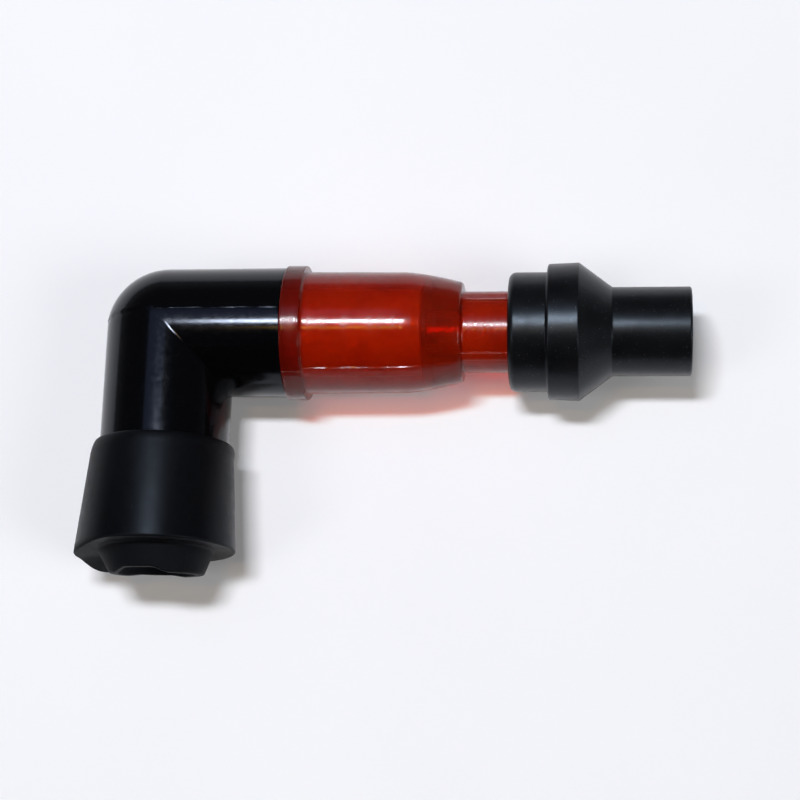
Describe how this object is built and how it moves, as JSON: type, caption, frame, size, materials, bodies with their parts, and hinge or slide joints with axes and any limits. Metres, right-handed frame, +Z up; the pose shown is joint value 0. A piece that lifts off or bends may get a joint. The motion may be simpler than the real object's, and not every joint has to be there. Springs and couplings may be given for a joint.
{
  "type": "spark plug cap",
  "caption": "Right-angle resistor cap for a spark plug: black elbow with a rubber plug boot, a clear red barrel with a ribbed neck, and a rubber seal for the ignition lead.",
  "frame": {"origin": "middle of the bounding box at floor level, with the cap lying on its side as it comes to rest", "axes": "+X along the lead axis from the elbow to the lead's end, -Y towards the plug, +Z up"},
  "size_m": [0.0956, 0.0502, 0.0242],
  "materials": {
    "black_phenolic": "glossy moulded black phenolic with a fine mould line",
    "red_polycarbonate": "glossy translucent red moulding with a mould line",
    "boot_rubber": "satin black moulded rubber",
    "seal_rubber": "satin black moulded rubber with a bluish sheen",
    "brass": "turned brass",
    "spring_steel": "drawn spring steel",
    "resistor_ceramic": "unglazed white ceramic",
    "sleeve_nylon": "natural nylon"
  },
  "bodies": {
    "root": {"elbow_housing": "black_phenolic", "red_barrel": "red_polycarbonate", "plug_boot": "boot_rubber", "cable_seal": "seal_rubber", "barrel_o_ring": "seal_rubber", "plug_socket": "brass", "socket_clip": "spring_steel", "contact_screw": "spring_steel", "corner_contact": "brass", "contact_spring": "spring_steel", "resistor_cap_front": "brass", "resistor_core": "resistor_ceramic", "resistor_cap_rear": "brass", "resistor_sleeve": "sleeve_nylon", "lead_screw": "brass"}
  },
  "joints": []
}
